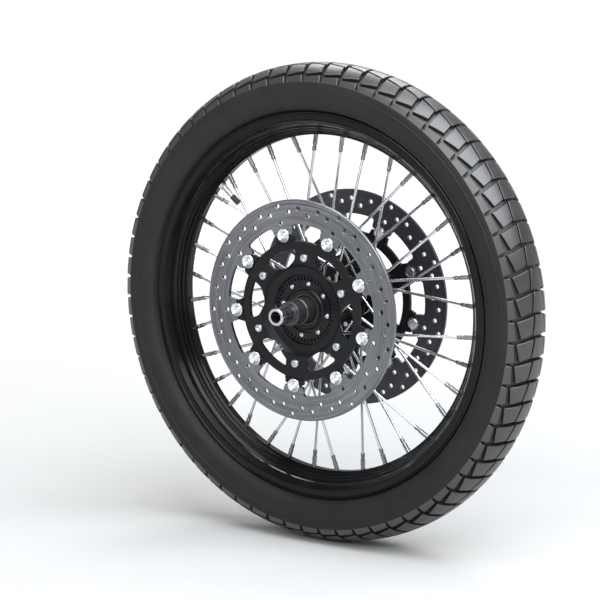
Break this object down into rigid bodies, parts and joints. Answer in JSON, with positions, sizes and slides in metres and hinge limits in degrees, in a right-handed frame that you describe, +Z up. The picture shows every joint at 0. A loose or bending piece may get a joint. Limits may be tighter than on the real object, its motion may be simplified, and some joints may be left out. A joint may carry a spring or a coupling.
{
  "type": "spoked motorcycle front wheel",
  "caption": "Wire-spoked front wheel with tyre, black rim and hub, two floating brake discs, bearings, spacers and hollow axle.",
  "frame": {"origin": "centre of the wheel on the spin axis, midway between the two brake discs", "axes": "+Y along the spin axis towards the motorcycle's left side, +Z up, +X forward; the right-hand disc is at -Y"},
  "size_m": [0.6998, 0.277, 0.6998],
  "materials": {
    "axle_steel": "ground hollow steel",
    "bearing_steel": "ground bearing steel",
    "black_anodised_rim": "satin black coated aluminium",
    "black_hub": "satin black coated cast aluminium",
    "bobbin_metal": "bright turned metal",
    "bright_steel": "polished steel",
    "cage_brass": "pressed steel cage",
    "cap_plastic": "black moulded plastic",
    "carrier_black": "hard anodised black aluminium",
    "disc_steel": "ground stainless steel with circular machining marks",
    "nipple_steel": "plated steel, slightly dull",
    "seal_rubber": "black nitrile rubber",
    "sensor_ring": "dark phosphated steel",
    "spacer_dark": "dark anodised turned aluminium",
    "spring_steel": "spring steel",
    "tube_alu": "plain drawn aluminium tube",
    "tyre_rubber": "matt black rubber, moulded tread and plain sidewalls",
    "valve_metal": "nickel plated brass",
    "zinc_steel": "zinc plated steel"
  },
  "bodies": {
    "axle_group": {"axle": "axle_steel", "wheel_spacer_right": "spacer_dark", "wheel_spacer_left": "spacer_dark", "distance_tube": "tube_alu", "bearing_inner_race_right": "bearing_steel", "bearing_inner_race_left": "bearing_steel"},
    "disc_right": {"brake_disc_right": "disc_steel"},
    "disc_left": {"brake_disc_left": "disc_steel"},
    "cage_right": {"bearing_cage_right": "cage_brass", "bearing_balls_right": "bearing_steel"},
    "cage_left": {"bearing_cage_left": "cage_brass", "bearing_balls_left": "bearing_steel"},
    "valve_pin": {"valve_pin": "valve_metal"},
    "valve_cap": {"valve_cap": "cap_plastic"},
    "wheel": {"bearing_outer_race_left": "bearing_steel", "bearing_outer_race_right": "bearing_steel", "bearing_seals_left": "seal_rubber", "bearing_seals_right": "seal_rubber", "bobbins_left": "bobbin_metal", "bobbins_right": "bobbin_metal", "disc_bolts_left": "zinc_steel", "disc_bolts_right": "zinc_steel", "disc_carrier_left": "carrier_black", "disc_carrier_right": "carrier_black", "hub": "black_hub", "retaining_rings_left": "spring_steel", "retaining_rings_right": "spring_steel", "rim": "black_anodised_rim", "rim_sealing_band": "seal_rubber", "sensor_ring_screws": "zinc_steel", "shaft_seal_left": "seal_rubber", "shaft_seal_right": "seal_rubber", "speed_sensor_ring": "sensor_ring", "spoke_nipples_left": "nipple_steel", "spoke_nipples_right": "nipple_steel", "spokes_left_inner": "bright_steel", "spokes_left_outer": "bright_steel", "spokes_right_inner": "bright_steel", "spokes_right_outer": "bright_steel", "tyre": "tyre_rubber", "valve_core": "valve_metal", "valve_gasket": "seal_rubber", "valve_nut": "valve_metal", "valve_stem": "valve_metal", "wave_washers_left": "spring_steel", "wave_washers_right": "spring_steel"}
  },
  "joints": [
    {"name": "wheel_spin", "type": "hinge", "parent": "axle_group", "child": "wheel", "pos_m": [0, 0, 0], "axis": [0, 1, 0], "continuous": true},
    {"name": "ball_set_spin_right", "type": "hinge", "parent": "axle_group", "child": "cage_right", "pos_m": [0, 0, 0], "axis": [0, 1, 0], "continuous": true},
    {"name": "ball_set_spin_left", "type": "hinge", "parent": "axle_group", "child": "cage_left", "pos_m": [0, 0, 0], "axis": [0, 1, 0], "continuous": true},
    {"name": "disc_float_right", "type": "slide", "parent": "wheel", "child": "disc_right", "axis": [0, 1, 0], "range_m": [-0.0002, 0.0002]},
    {"name": "disc_float_left", "type": "slide", "parent": "wheel", "child": "disc_left", "axis": [0, 1, 0], "range_m": [-0.0002, 0.0002]},
    {"name": "valve_pin_press", "type": "slide", "parent": "wheel", "child": "valve_pin", "axis": [-0.7593, 0, 0.6508], "range_m": [0, 0.0012], "stiffness_N_per_m": 1500, "springref_m": -0.001},
    {"name": "valve_cap_screw", "type": "slide", "parent": "wheel", "child": "valve_cap", "axis": [0.7593, 0, -0.6508], "range_m": [0, 0.008]}
  ],
  "couplings": [
    {"joint": "ball_set_spin_right", "follows": "wheel_spin", "ratio": 0.58889},
    {"joint": "ball_set_spin_left", "follows": "wheel_spin", "ratio": 0.58889}
  ]
}
